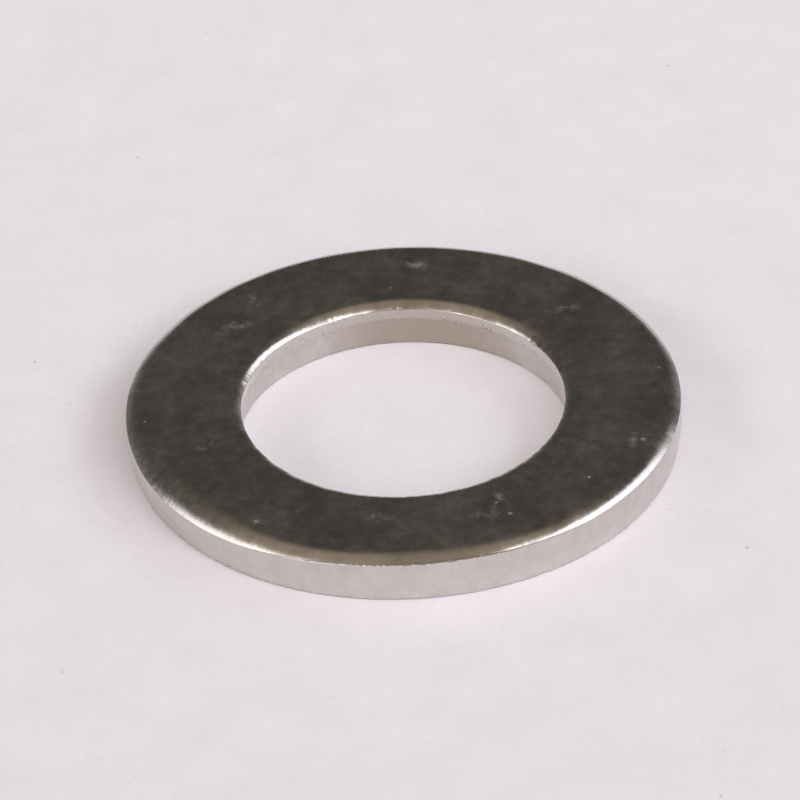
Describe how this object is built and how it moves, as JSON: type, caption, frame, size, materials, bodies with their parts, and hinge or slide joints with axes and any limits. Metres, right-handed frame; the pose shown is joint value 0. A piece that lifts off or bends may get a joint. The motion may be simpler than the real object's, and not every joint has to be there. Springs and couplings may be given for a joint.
{
  "type": "flat washer",
  "caption": "Thin flat metal ring with a plain round hole, placed under a bolt head or nut to spread its load over the surface below.",
  "frame": {"origin": "on the washer's axis, in the plane of the seat face, which is its lowest plane", "axes": "+Z along the washer's axis, out of the head face with the rolled edges; X and Y are any two directions across the ring"},
  "size_m": [0.018, 0.018, 0.0016],
  "materials": {
    "stainless_steel": "bare stainless steel, smooth sheet faces and satin sheared walls"
  },
  "bodies": {
    "root": {"washer": "stainless_steel"}
  },
  "joints": []
}
